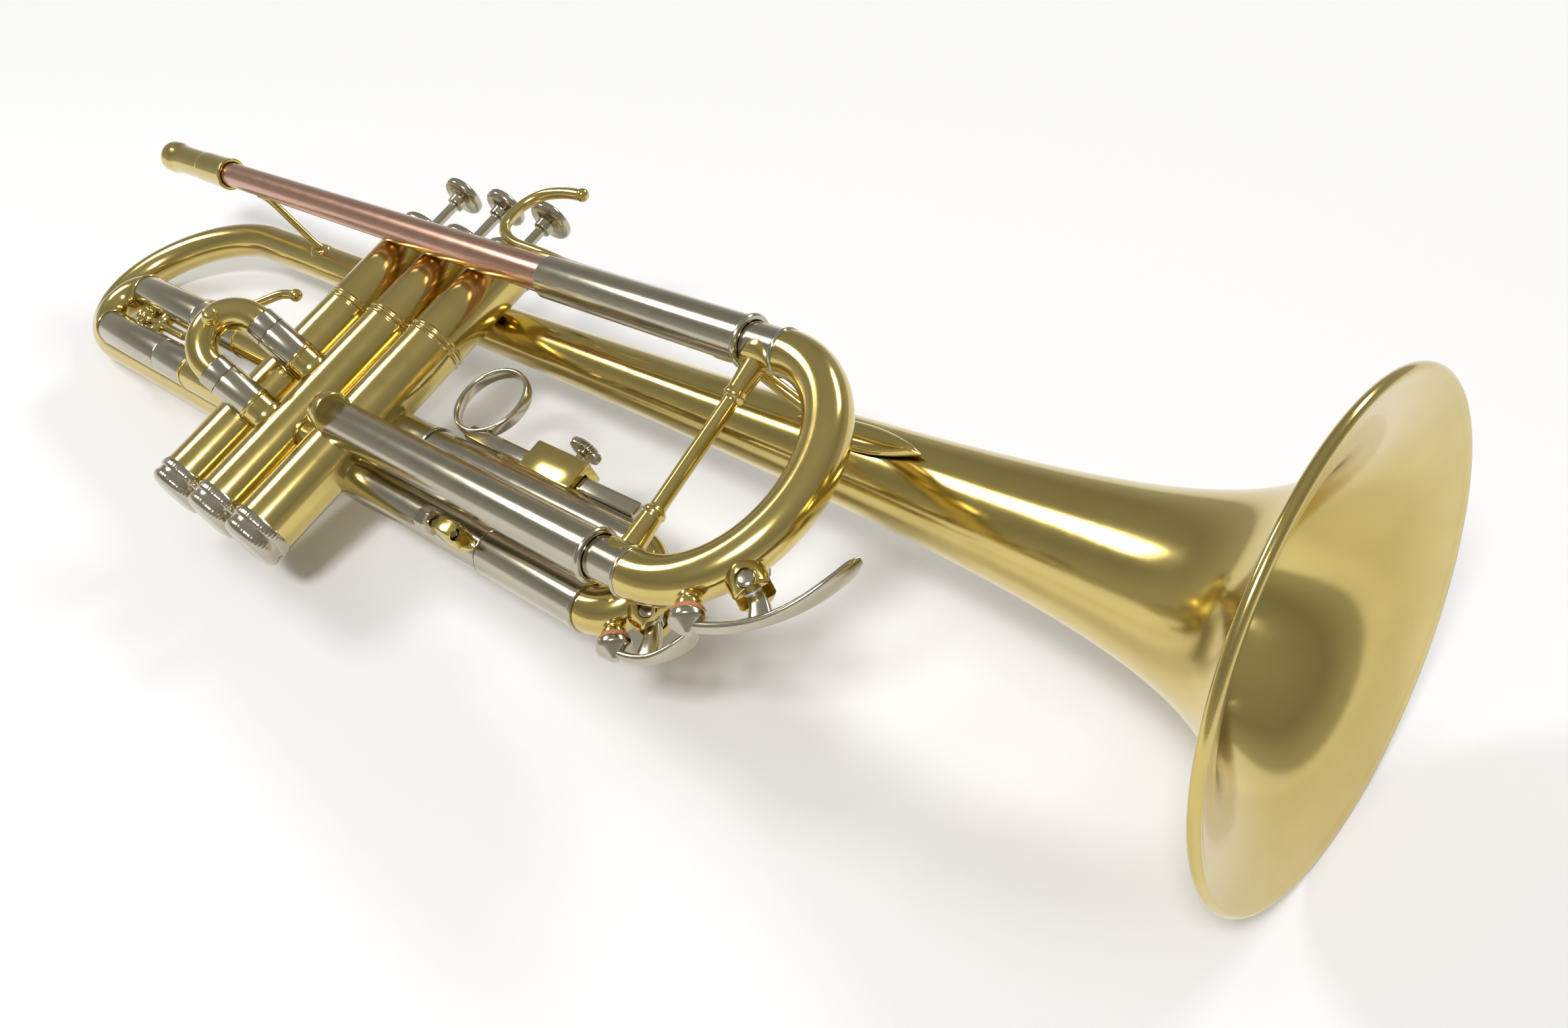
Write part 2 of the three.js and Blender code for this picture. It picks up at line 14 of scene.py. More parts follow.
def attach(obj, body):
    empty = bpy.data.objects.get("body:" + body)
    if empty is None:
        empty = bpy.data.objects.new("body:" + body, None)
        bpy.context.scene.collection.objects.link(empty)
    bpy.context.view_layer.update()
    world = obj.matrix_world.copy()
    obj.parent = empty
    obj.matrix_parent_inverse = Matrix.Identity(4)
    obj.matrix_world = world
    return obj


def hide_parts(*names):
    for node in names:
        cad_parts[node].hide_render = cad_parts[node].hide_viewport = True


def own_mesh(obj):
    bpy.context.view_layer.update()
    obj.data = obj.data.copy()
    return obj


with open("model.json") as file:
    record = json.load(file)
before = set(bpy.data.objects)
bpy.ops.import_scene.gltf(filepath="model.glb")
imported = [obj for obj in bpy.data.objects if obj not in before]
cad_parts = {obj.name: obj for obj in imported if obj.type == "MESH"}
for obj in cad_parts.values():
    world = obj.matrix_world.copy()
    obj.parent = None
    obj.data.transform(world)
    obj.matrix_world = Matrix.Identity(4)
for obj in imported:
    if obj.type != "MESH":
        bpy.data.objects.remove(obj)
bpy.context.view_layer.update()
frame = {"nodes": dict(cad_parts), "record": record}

# ---- the playing frame, from the joints' axes ----
JOINTS = {joint["name"]: joint for joint in frame["record"]["behaviour"]["joints"]}
FORWARD = Vector(JOINTS["main_tuning_slide"]["axis"]).normalized()
UPWARD = -Vector(JOINTS["valve_2_press"]["axis"]).normalized()
LEFT = UPWARD.cross(FORWARD)
PLAY = Matrix([FORWARD, LEFT, UPWARD]).transposed().to_4x4() @ Matrix.Scale(0.001, 4)
PLAY.translation = Vector(JOINTS["valve_2_press"]["pos_m"])
TO_PLAY = PLAY.inverted()


def span(node):
    """Lowest and highest corner of a CAD node in the playing frame, in millimetres."""
    mesh = frame["nodes"][node].data
    points = np.array([TO_PLAY @ v.co for v in mesh.vertices])
    return points.min(axis=0), points.max(axis=0)


def tube_of(node):
    """Start, end, y, z and radius of a straight tube that runs along X."""
    low, high = span(node)
    y, z = (low[1:] + high[1:]) / 2
    return low[0], high[0], y, z, (high[2] - low[2]) / 2


def joint_place(name):
    return np.array(TO_PLAY @ Vector(JOINTS[name]["pos_m"]))


# ---- materials ----
CLOUDS = 60.0  # how fine the clouds of tint are
SCRATCHES = 0.02


def metal(name, light, dark, rough, coat=0.0):
    """Polished metal: two near tints in soft clouds, fine hairlines and a slightly uneven gloss."""
    material = bpy.data.materials.new(name)
    material.use_nodes = True
    nodes, links = material.node_tree.nodes, material.node_tree.links
    shader = nodes["Principled BSDF"]
    shader.inputs["Metallic"].default_value = 1.0
    shader.inputs["Coat Weight"].default_value = coat
    shader.inputs["Coat Roughness"].default_value = 0.04
    place = nodes.new("ShaderNodeTexCoord")
    clouds = nodes.new("ShaderNodeTexNoise")
    clouds.inputs["Scale"].default_value = CLOUDS
    clouds.inputs["Detail"].default_value = 5.0
    links.new(place.outputs["Object"], clouds.inputs["Vector"])
    tint = nodes.new("ShaderNodeValToRGB")
    tint.color_ramp.elements[0].position = 0.35
    tint.color_ramp.elements[0].color = (*dark, 1)
    tint.color_ramp.elements[1].position = 0.65
    tint.color_ramp.elements[1].color = (*light, 1)
    links.new(clouds.outputs["Fac"], tint.inputs["Fac"])
    links.new(tint.outputs["Color"], shader.inputs["Base Color"])
    gloss = nodes.new("ShaderNodeTexNoise")
    gloss.inputs["Scale"].default_value = CLOUDS * 4
    gloss.inputs["Detail"].default_value = 8.0
    links.new(place.outputs["Object"], gloss.inputs["Vector"])
    spread = nodes.new("ShaderNodeMapRange")
    spread.inputs["To Min"].default_value = rough * 0.8
    spread.inputs["To Max"].default_value = rough * 1.25
    links.new(gloss.outputs["Fac"], spread.inputs["Value"])
    links.new(spread.outputs["Result"], shader.inputs["Roughness"])
    stretch = nodes.new("ShaderNodeMapping")
    stretch.inputs["Scale"].default_value = (40.0, 900.0, 900.0)
    links.new(place.outputs["Object"], stretch.inputs["Vector"])
    hairs = nodes.new("ShaderNodeTexNoise")
    hairs.inputs["Scale"].default_value = 3.0
    hairs.inputs["Detail"].default_value = 3.0
    links.new(stretch.outputs["Vector"], hairs.inputs["Vector"])
    bump = nodes.new("ShaderNodeBump")
    bump.inputs["Strength"].default_value = SCRATCHES
    bump.inputs["Distance"].default_value = 0.0002
    links.new(hairs.outputs["Fac"], bump.inputs["Height"])
    links.new(bump.outputs["Normal"], shader.inputs["Normal"])
    return material


def grainy(name, light, dark, rough, scale):
    """A matt material with a coarse grain, for cork."""
    material = bpy.data.materials.new(name)
    material.use_nodes = True
    nodes, links = material.node_tree.nodes, material.node_tree.links
    shader = nodes["Principled BSDF"]
    shader.inputs["Roughness"].default_value = rough
    place = nodes.new("ShaderNodeTexCoord")
    cells = nodes.new("ShaderNodeTexVoronoi")
    cells.inputs["Scale"].default_value = scale
    links.new(place.outputs["Object"], cells.inputs["Vector"])
    tint = nodes.new("ShaderNodeValToRGB")
    tint.color_ramp.elements[0].color = (*dark, 1)
    tint.color_ramp.elements[1].color = (*light, 1)
    links.new(cells.outputs["Distance"], tint.inputs["Fac"])
    links.new(tint.outputs["Color"], shader.inputs["Base Color"])
    bump = nodes.new("ShaderNodeBump")
    bump.inputs["Strength"].default_value = 0.4
    bump.inputs["Distance"].default_value = 0.0003
    links.new(cells.outputs["Distance"], bump.inputs["Height"])
    links.new(bump.outputs["Normal"], shader.inputs["Normal"])
    return material


FINISH = {
    "brass": metal("lacquered_brass", (0.65, 0.52, 0.18), (0.60, 0.47, 0.155), 0.15, coat=0.25),
    "nickel_silver": metal("nickel_silver", (0.53, 0.485, 0.38), (0.48, 0.44, 0.34), 0.17),
    "red_brass": metal("red_brass", (0.64, 0.38, 0.28), (0.59, 0.34, 0.25), 0.24, coat=0.3),
    "steel": metal("steel", (0.56, 0.56, 0.56), (0.48, 0.48, 0.48), 0.3),
    "cork": grainy("cork", (0.58, 0.24, 0.12), (0.42, 0.15, 0.07), 0.85, 1500.0),
}
SLOT_OF = {row["node"]: row["material_slot"] for row in frame["record"]["subparts"]}
for node_name, cad in frame["nodes"].items():
    cad.data.materials.clear()
    cad.data.materials.append(FINISH[SLOT_OF[node_name]])


# ---- shape helpers, in millimetres ----
ROUND = 96  # sides of a turned piece
CORNER_STEPS = 3
LEAF_STEPS = 28
BOX_SIDES = 40
BALL_STEPS = 24


def vec(*numbers):
    return np.array(numbers, float)


def unit(direction):
    return direction / np.linalg.norm(direction)


def skin(rows, loop=False, tips=(None, None)):
    """Points and faces over rings of equal length; open ends are capped, or drawn to a tip."""
    count = len(rows[0])
    points = np.concatenate(rows)
    faces = []
    pairs = [(i, i + 1) for i in range(len(rows) - 1)] + ([(len(rows) - 1, 0)] if loop else [])
    for a, b in pairs:
        for k in range(count):
            after = (k + 1) % count
            faces.append((a * count + k, a * count + after, b * count + after, b * count + k))
    if not loop:
        for end, tip in ((0, tips[0]), (len(rows) - 1, tips[1])):
            ring = [end * count + k for k in range(count)]
            if tip is None:
                faces.append(tuple(ring))
                continue
            points = np.vstack([points, tip])
            faces += [(ring[k], ring[(k + 1) % count], len(points) - 1) for k in range(count)]
    return points, faces


def softened(profile, size=0.4, closed=False):
    """The same outline with each corner rounded off."""
    points = [vec(*p) for p in profile]
    count = len(points)
    made = []
    for i, corner in enumerate(points):
        if not closed and i in (0, count - 1):
            made.append(corner)
            continue
        before = points[i - 1] - corner
        after = points[(i + 1) % count] - corner
        start = corner + unit(before) * min(size, 0.45 * np.linalg.norm(before))
        end = corner + unit(after) * min(size, 0.45 * np.linalg.norm(after))
        for t in np.linspace(0, 1, CORNER_STEPS + 1):
            made.append((1 - t) ** 2 * start + 2 * t * (1 - t) * corner + t ** 2 * end)
    return made


# Each axis, with the direction that a turn about it starts from.
AXES = {
    "x": (vec(1, 0, 0), vec(0, 1, 0)),
    "y": (vec(0, 1, 0), vec(0, 0, 1)),
    "z": (vec(0, 0, 1), vec(1, 0, 0)),
}


def lathe(profile, place, axis="x", sides=ROUND, knurls=0, depth=0.0, closed=False):
    """A profile of (radius, distance) turned round an axis; a third number turns the knurling on."""
    along, across = AXES[axis] if isinstance(axis, str) else (unit(axis), None)
    if across is None:
        across = unit(np.cross(along, vec(0, 1, 0.01)))
    third = np.cross(along, across)
    angles = np.linspace(0, 2 * np.pi, sides, endpoint=False)
    circle = np.outer(np.cos(angles), across) + np.outer(np.sin(angles), third)
    ripple = depth * 0.5 * (np.cos(knurls * angles) - 1)
    rows, tips = [], [None, None]
    for i, point in enumerate(profile):
        if point[0] < 1e-6:
            tips[0 if i == 0 else 1] = place + along * point[1]
            continue
        radius = point[0] + (ripple * point[2] if len(point) > 2 else 0)
        rows.append(place + along * point[1] + circle * np.reshape(radius, (-1, 1)))
    return skin(rows, loop=closed, tips=tuple(tips))


def tube(place, steps, bore):
    """An open tube along X; steps lists (outer radius, start, end)."""
    outside = [point for radius, start, end in steps for point in ((radius, start), (radius, end))]
    start, end = steps[0][1], steps[-1][2]
    profile = softened([(bore, start), *outside, (bore, end)], 0.3, closed=True)
    return lathe(profile, place, closed=True)


def rounded_square(sides, power):
    """Cosines and sines of a turn, pushed out towards a square as power rises above 2."""
    angles = np.linspace(0, 2 * np.pi, sides, endpoint=False)
    return [np.sign(wave) * np.abs(wave) ** (2 / power) for wave in (np.cos(angles), np.sin(angles))]


def sweep(path, width, height=None, bore=None, sides=48, across=None, power=2.0):
    """A section swept along a path: width lies across the path's plane, height in it."""
    path = np.array(path, float)
    count = len(path)
    height = width if height is None else height
    width, height = np.broadcast_to(width, count), np.broadcast_to(height, count)
    tangents = np.gradient(path, axis=0)
    tangents /= np.linalg.norm(tangents, axis=1)[:, None]
    side = vec(0, 1, 0.02) if across is None else across
    c, s = rounded_square(sides, power)
    outer, inner = [], []
    for i, tangent in enumerate(tangents):
        side = unit(side - tangent * np.dot(side, tangent))
        normal = np.cross(tangent, side)
        ring = np.outer(c * width[i], side) + np.outer(s * height[i], normal)
        outer.append(path[i] + ring)
        if bore is not None:
            inner.append(path[i] + ring * (np.broadcast_to(bore, count)[i] / width[i]))
    if bore is not None:
        return skin(outer + inner[::-1], loop=True)
    return skin(outer)


def half_turn(start, end, reach, steps=64):
    """Points of an elliptical bow from start to end that reaches out by a vector."""
    centre, half = (start + end) / 2, (start - end) / 2
    turn = np.linspace(0, np.pi, steps)
    return centre + np.outer(np.cos(turn), half) + np.outer(np.sin(turn), reach)


def smooth_path(points, steps=8):
    """A Catmull-Rom curve through points."""
    points = np.array(points, float)
    padded = np.vstack([2 * points[0] - points[1], points, 2 * points[-1] - points[-2]])
    made = []
    for i in range(1, len(padded) - 2):
        p0, p1, p2, p3 = padded[i - 1:i + 3]
        for t in np.linspace(0, 1, steps, endpoint=False):
            made.append(0.5 * (2 * p1 + (p2 - p0) * t + (2 * p0 - 5 * p1 + 4 * p2 - p3) * t ** 2
                               + (3 * p1 - p0 - 3 * p2 + p3) * t ** 3))
    made.append(points[-1])
    return np.array(made)


def ball(place, radius):
    turn = np.linspace(0, np.pi, BALL_STEPS + 1)
    angles = np.linspace(0, 2 * np.pi, 2 * BALL_STEPS, endpoint=False)
    ring = np.stack([np.cos(angles), np.sin(angles), np.zeros_like(angles)], axis=1)
    rows = [place + radius * (ring * np.sin(t) + vec(0, 0, np.cos(t))) for t in turn[1:-1]]
    return skin(rows, tips=(place + vec(0, 0, radius), place - vec(0, 0, radius)))


def leaf(y, z, radius, start, end, towards, half_angle, thickness, blunt=0.5, taper=0.0):
    """A pointed saddle wrapped on a tube along X: widest in the middle, facing a direction in degrees."""
    middle = math.radians(towards)

    def arc(x, radii, turns):
        angles = turns + middle
        return [vec(x, y + r * math.cos(a), z + r * math.sin(a)) for r, a in zip(radii, angles)]

    rows = []
    for t in np.linspace(0, 1, LEAF_STEPS):
        x = start + (end - start) * t
        reach = math.radians(half_angle) * max(math.sin(np.pi * t), 0.02) ** blunt
        base = radius + taper * t
        turns = np.linspace(-reach, reach, 13)
        edge = 1 - (np.linspace(-1, 1, 13)) ** 4
        lift = base + 0.05 + thickness * edge * min(1, 4 * math.sin(np.pi * t) + 0.05)
        underside = np.full(13, base - 0.4)
        rows.append(np.array(arc(x, lift, turns) + arc(x, underside, turns[::-1])))
    return skin(rows)


def box(low, high, round_off=0.5, axis="x"):
    """A rounded bar from corner to corner, along an axis."""
    low, high = np.minimum(low, high), np.maximum(low, high)
    middle, half = (low + high) / 2, (high - low) / 2
    order = {"x": (0, 1, 2), "y": (1, 2, 0)}[axis]
    power = 2 * min(half[order[1]], half[order[2]]) / round_off
    c, s = rounded_square(BOX_SIDES, max(power, 2))
    inset = round_off / half[order[0]]
    nearly = 0.3  # how much of the rounding is left at the second and fifth ring
    stations = ((-1, 1), (-1 + inset * nearly, nearly), (-1 + inset, 0),
                (1 - inset, 0), (1 - inset * nearly, nearly), (1, 1))
    rows = []
    for along, left in stations:
        shrink = left * round_off
        ring = np.zeros((BOX_SIDES, 3))
        ring[:, order[0]] = along * half[order[0]]
        ring[:, order[1]] = c * (half[order[1]] - shrink)
        ring[:, order[2]] = s * (half[order[2]] - shrink)
        rows.append(middle + ring)
    return skin(rows)


SHARP = 32  # degrees from which an edge shows as a crease


def object_from(name, parts, slot, sharp=SHARP):
    """An object of (points, faces) parts in the playing frame, with a slot's finish."""
    mesh = bpy.data.meshes.new(name)
    points, faces = [], []
    for part_points, part_faces in parts:
        faces += [tuple(k + len(points) for k in face) for face in part_faces]
        points += [tuple(PLAY @ Vector(p)) for p in part_points]
    mesh.from_pydata(points, [], faces)
    work = bmesh.new()
    work.from_mesh(mesh)
    bmesh.ops.recalc_face_normals(work, faces=work.faces)
    work.to_mesh(mesh)
    work.free()
    mesh.polygons.foreach_set("use_smooth", [True] * len(mesh.polygons))
    mesh.set_sharp_from_angle(angle=math.radians(sharp))
    mesh.materials.append(FINISH[slot])
    made = bpy.data.objects.new(name, mesh)
    bpy.context.scene.collection.objects.link(made)
    return made


def piece(name, parts, slot, body, *nodes, sharp=SHARP):
    """A finished mesh that rides on a body and stands for CAD nodes."""
    made = object_from(name, parts, slot, sharp)
    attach(made, body)
    if nodes:
        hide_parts(*nodes)
    return made


def carved(base, *tools):
    """Cuts tools out of an object and leaves a plain mesh."""
    for tool in tools:
        cut = base.modifiers.new("cut", "BOOLEAN")
        cut.operation = "DIFFERENCE"
        cut.solver = "EXACT"
        cut.object = tool
    bpy.context.view_layer.update()
    depsgraph = bpy.context.evaluated_depsgraph_get()
    mesh = bpy.data.meshes.new_from_object(base.evaluated_get(depsgraph))
    base.modifiers.clear()
    base.data = mesh
    mesh.polygons.foreach_set("use_smooth", [True] * len(mesh.polygons))
    mesh.set_sharp_from_angle(angle=math.radians(SHARP))
    for tool in tools:
        bpy.data.objects.remove(tool)
    return base


def placed(made, body, node):
    """Puts an object that was carved on its body and hides the CAD node that it stands for."""
    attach(made, body)
    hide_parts(node)


SLIDE_TUBE = 6.95  # outer radius of the slides' outer tubes
INNER_TUBE = 6.1  # outer radius of the tubes that slide in them
BOW = 6.6  # outer radius of the slides' bows
BOW_BORE = 5.9

# ---- valves ----
KNURLS = 56
COIL_TURNS = 9
COIL_RADIUS = 6.2
COIL_WIRE = 0.55


def valve(n):
    low, high = span(f"casing_{n}")
    x = (low[0] + high[0]) / 2
    place = vec(x, 0, 0)
    radius, bottom, top, seam = (high[0] - low[0]) / 2 - 0.5, low[2], high[2], -3.0
    crest, groove = radius + 0.42, radius - 0.1
    bead = [(radius, seam - 1.9), (crest, seam - 1.5), (crest, seam - 1.0), (groove, seam - 0.6),
            (groove, seam + 0.3), (crest, seam + 0.7), (crest, seam + 1.2), (radius, seam + 1.6)]
    outline = [(8.8, bottom), (radius, bottom), *bead, (radius, top), (8.8, top)]
    casing = lathe(softened(outline, 0.25, closed=True), place, "z", 128, closed=True)
    piece(f"casing_{n}_body", [casing], "brass", "horn", f"casing_{n}")
    cap = [(0, bottom - 9), (7.2, bottom - 8.9), (9, bottom - 8.5), (10.2, bottom - 7.6),
           (10.6, bottom - 6.6, 1), (10.6, bottom - 5.6, 1), (10.3, bottom - 5.1), (10.3, bottom - 3.4),
           (10.9, bottom - 3, 1), (11.05, bottom - 2.2, 1), (11.05, bottom - 1.2, 1), (10.8, bottom - 0.4),
           (10.4, bottom + 0.2), (8.9, bottom + 0.2), (8.9, bottom - 7), (0, bottom - 7)]
    shape = lathe(cap, place, "z", KNURLS * 4, KNURLS, 0.12)
    piece(f"bottom_cap_{n}_body", [shape], "nickel_silver", "horn", f"bottom_cap_{n}", sharp=50)
    lid = [(3.95, top + 4), (3.95, top + 6.9), (4.6, top + 7.1), (8.6, top + 6.9), (9.9, top + 6.2),
           (10.6, top + 5.2, 1), (10.7, top + 3.9, 1), (10.4, top + 3.2), (10.4, top + 2.4),
           (10.9, top + 2, 1), (11, top + 1.2, 1), (10.6, top + 0.2), (8.9, top + 0.2), (8.9, top + 4)]
    shape = lathe(lid, place, "z", KNURLS * 4, KNURLS, 0.12, closed=True)
    piece(f"top_cap_{n}_body", [shape], "nickel_silver", "horn", f"top_cap_{n}", sharp=50)
    base, head = span(f"finger_button_{n}")
    disc = head[2] - 3.3
    stem = [(0, base[2]), (3.4, base[2]), (3.4, base[2] + 3.6), (1.9, base[2] + 5.2), (1.9, disc - 4.1),
            (3.2, disc - 3.7), (3.4, disc - 0.9), (5.6, disc - 0.2), (7.5, disc), (8.2, disc + 0.8),
            (8.2, disc + 2.5), (7.7, disc + 3.2), (6.5, disc + 3.3), (6.1, disc + 2.8), (3, disc + 2.3),
            (0, disc + 2.2)]
    piece(f"finger_button_{n}_body", [lathe(softened(stem, 0.35), place, "z")], "nickel_silver", f"valve_{n}",
          f"finger_button_{n}")
    low, high = span(f"valve_spring_{n}")
    turn = np.linspace(0, 1, 24 * COIL_TURNS)
    angle = 2 * np.pi * COIL_TURNS * turn
    height = low[2] + 0.7 + (high[2] - low[2] - 1.4) * turn
    coil = np.stack([x + COIL_RADIUS * np.cos(angle), COIL_RADIUS * np.sin(angle), height], axis=1)
    wire = sweep(coil, COIL_WIRE, sides=10, across=vec(0, 0, 1))
    spring = piece(f"valve_spring_{n}_coil", [wire], "steel", "horn", f"valve_spring_{n}")
    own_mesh(spring)


for number in (1, 2, 3):
    valve(number)


def links():
    for n in (1, 2):
        low, high = span(f"valve_link_{n}")
        y, z = (low[1:] + high[1:]) / 2
        place = vec(0, y, z)
        pipe = lathe([(5.9, low[0] - 1), (5.9, high[0] + 1)], place)
        collars = []
        for a, b in ((low[0] - 1, low[0] + 1.4), (high[0] - 1.4, high[0] + 1)):
            collar = softened([(5, a), (6.7, a), (6.7, b), (5, b)], 0.5, closed=True)
            collars.append(lathe(collar, place, closed=True))
        piece(f"valve_link_{n}_body", [pipe, *collars], "brass", "horn", f"valve_link_{n}")


links()


# ---- leadpipe line ----
def leadpipe_line():
    mouth, collar, y, z, _ = tube_of("mouthpiece_receiver")
    place = vec(0, y, z)
    outline = [(5.3, mouth), (5.9, mouth), (6.6, mouth + 0.9), (6.75, mouth + 3), (6.7, mouth + 6.5),
               (6.1, mouth + 10), (5.95, mouth + 13), (5.95, collar - 22), (6.3, collar - 21.2),
               (6.3, collar - 1.6), (6.65, collar - 1.2), (6.65, collar - 0.3), (6.3, collar), (5.1, collar),
               (5.1, collar - 10), (4.7, collar - 13)]
    receiver = lathe(softened(outline, 0.8, closed=True), place, closed=True)
    piece("mouthpiece_receiver_body", [receiver], "brass", "horn", "mouthpiece_receiver")
    start, end, y, z, _ = tube_of("leadpipe")
    outline = [(4.3, start), (4.95, start), (5.9, end + 0.3), (5.2, end + 0.3)]
    piece("leadpipe_body", [lathe(outline, vec(0, y, z), closed=True)], "red_brass", "horn", "leadpipe")
    for node in ("leadpipe_slide_tube", "return_slide_tube"):
        start, end, y, z, _ = tube_of(node)
        radius = SLIDE_TUBE
        ring = [(radius, end - 1.9), (radius + 0.55, end - 1.85), (radius + 0.95, end - 1.3),
                (radius + 0.95, end - 0.7), (radius + 0.55, end - 0.1), (radius - 0.2, end)]
        outline = [(6.55, start - 0.3), (radius, start - 0.3), (radius, end - 2.1), *ring, (6.3, end)]
        piece(node + "_body", [lathe(softened(outline, 0.2, closed=True), vec(0, y, z), closed=True)],
              "nickel_silver", "horn", node)
    _, start, y, z, _ = tube_of("return_port")
    nose = [(0, start - 9.2), (2.7, start - 8.7), (4.9, start - 7.3), (6.4, start - 5), (7, start - 2.2),
            (7.1, start + 0.3), (0, start + 0.3)]
    piece("return_port_body", [lathe(softened(nose, 0.5), vec(0, y, z))], "brass", "horn", "return_port")


leadpipe_line()


# ---- main tuning slide ----
upper_end, upper_y, upper_z, leg_radius = tube_of("main_leg_upper")[1:]
lower_y, lower_z = tube_of("main_leg_lower")[2:4]
MAIN_TOP = vec(upper_end, upper_y, upper_z)
MAIN_LOW = vec(upper_end, lower_y, lower_z)
MAIN_REACH = span("main_bow")[1][0] - BOW - upper_end
MAIN_BOW = (MAIN_TOP, MAIN_LOW, MAIN_REACH)
MAIN_NIPPLE = 9.3  # lengths of the nipples, from the bows' centre lines
THIRD_NIPPLE = 9
HINGE_OUT = 10.3  # the water keys' hinges, from the bows' centre lines


def on_bow(bow, degrees):
    """A place on a bow's centre line and the way out from it; bow is its top, its foot and its reach."""
    top, low, reach = bow
    angle = math.radians(degrees)
    half = (top - low) / 2
    place = (top + low) / 2 + half * math.sin(angle) + vec(reach * math.cos(angle), 0, 0)
    return place, unit(vec(math.cos(angle) / reach, 0, math.sin(angle) / np.linalg.norm(half)))


def nipple_on(bow, degrees, length):
    """The water key's nipple, with a groove round its neck."""
    place, out = on_bow(bow, degrees)
    profile = softened([(0, 4), (3.3, 4), (3.1, 6.6), (2.8, 7), (3.5, 7.7), (3.5, length), (0, length)], 0.3)
    return lathe(profile, place, out, 48)


def foot_on_leg(y, z, towards, middle, half, angle, radius):
    return leaf(y, z, radius, middle - half, middle + half, towards, angle, 0.9, blunt=0.8)


def main_slide():
    for node in ("main_leg_upper", "main_leg_lower"):
        start, end, y, z, radius = tube_of(node)
        ring = [(radius, end - 1.5), (radius + 0.75, end - 1.3), (radius + 0.95, end - 0.6),
                (radius + 0.75, end)]
        outline = [(5.6, start), (radius, start), *ring, (5.6, end)]
        piece(node + "_body", [lathe(softened(outline, 0.25, closed=True), vec(0, y, z), closed=True)],
              "nickel_silver", "main_slide", node)
    path = half_turn(MAIN_TOP, MAIN_LOW, vec(MAIN_REACH, 0, 0), 96)
    bow = sweep(path, BOW, bore=BOW_BORE, sides=72)
    nipple = nipple_on(MAIN_BOW, -57, MAIN_NIPPLE)
    piece("main_bow_body", [bow, nipple], "brass", "main_slide", "main_bow")
    top = vec(161, upper_y + 0.6, upper_z - leg_radius)
    foot = vec(162.5, lower_y - 0.6, lower_z + leg_radius)
    length = np.linalg.norm(top - foot)
    half = [(3.6, -0.6), (3.5, 1), (2.95, 9.3), (3.1, 9.8), (3.35, 10.6), (3.1, 11.4), (2.6, 11.8),
            (2.3, 12.4)]
    profile = half + [(radius, length - along) for radius, along in half[::-1]]
    shaft = lathe(softened([(0, -0.6), *profile, (0, length + 0.6)], 0.3), foot, top - foot, 72)
    feet = [foot_on_leg(upper_y, upper_z, -88, 161.6, 6.3, 72, leg_radius),
            foot_on_leg(lower_y, lower_z, 92, 161.8, 6.3, 72, leg_radius)]
    piece("main_slide_pillar_body", [shaft, *feet], "brass", "main_slide", "main_slide_pillar")


main_slide()


# ---- water keys ----
SIDEWAYS = vec(0, 1, 0)


def key_lever(prefix, body, seat, out, tip, bulge, pivot):
    """The cap over the cork, the curved spoon, and the web and hub that it turns on."""
    cap = softened([(0, 1.7), (4.6, 1.7), (4.95, 2.3), (4.95, 3.9), (4.4, 4.5), (0.9, 7.2), (0, 7.4)], 0.3)
    start = seat + out * 4.6
    chord = vec(tip[0], pivot[1], tip[1]) - start
    normal = unit(vec(chord[2], 0, -chord[0]))
    t = np.linspace(0, 1, 48)
    bend = start + 0.45 * chord + normal * bulge
    end = start + chord
    path = np.outer((1 - t) ** 2, start) + np.outer(2 * t * (1 - t), bend) + np.outer(t ** 2, end)
    spread = np.clip((t - 0.45) / 0.35, 0, 1)
    near_tip = np.clip((t - 0.92) / 0.08, 0, 1)
    width = 1.9 + 1.1 * spread - 1.6 * near_tip ** 2
    height = 1.25 - 0.45 * t - 0.3 * near_tip
    spoon = sweep(path, width, height, sides=32, across=SIDEWAYS, power=2.6)
    root = path[20]
    arm = smooth_path([root + normal * -0.4, (root + pivot) / 2 + unit(chord) * 0.6, pivot], 8)
    web = sweep(arm, 1.7, np.linspace(3.1, 1.9, len(arm)), sides=32, across=SIDEWAYS, power=3.0)
    hub = lathe(softened([(0, -2.0), (2.3, -2.0), (2.3, 2.0), (0, 2.0)], 0.3), pivot, "y", 48)
    piece(f"{prefix}_key_lever_body", [lathe(cap, seat, out, 48), spoon, web, hub], "nickel_silver", body,
          f"{prefix}_key_lever")


def key_saddle(prefix, slide, base, radial, side, pivot):
    """A short drum standing out of the bow, slotted for the lever, with its screw in a recess."""
    drum = softened([(0, BOW - 1.8), (5.2, BOW - 1.8), (5.4, BOW + 0.6), (5.4, HINGE_OUT + 1.9),
                     (4.9, HINGE_OUT + 2.6), (0, HINGE_OUT + 2.6)], 0.35)
    saddle = object_from(f"{prefix}_key_saddle_body", [lathe(drum, base, radial, 64)], "brass")
    middle = base + radial * (HINGE_OUT + 6)
    half_width, half_length = 2.35, 9
    corners = [middle + vec(0, a * half_width, 0) + side * b * half_length
               for a, b in ((-1, -1), (1, -1), (1, 1), (-1, 1))]
    slot_part = skin([np.array([c + radial * d for c in corners]) for d in (-8.6, 6)])
    slot_tool = object_from("slot_tool", [slot_part], "brass")
    recess = lathe([(0, -9), (2.8, -9), (2.8, -4.3), (0, -4.3)], pivot, "y", 48)
    recess_tool = object_from("recess_tool", [recess], "brass")
    carved(saddle, slot_tool, recess_tool)
    placed(saddle, slide, f"{prefix}_key_saddle")
    screw = softened([(0, -5.5), (1.7, -5.4), (2.4, -5), (2.5, -4.2), (1.1, -4.1), (1.1, 4.6), (0, 4.6)], 0.2)
    piece(f"{prefix}_key_pivot_screw", [lathe(screw, pivot, "y", 48)], "nickel_silver", slide)


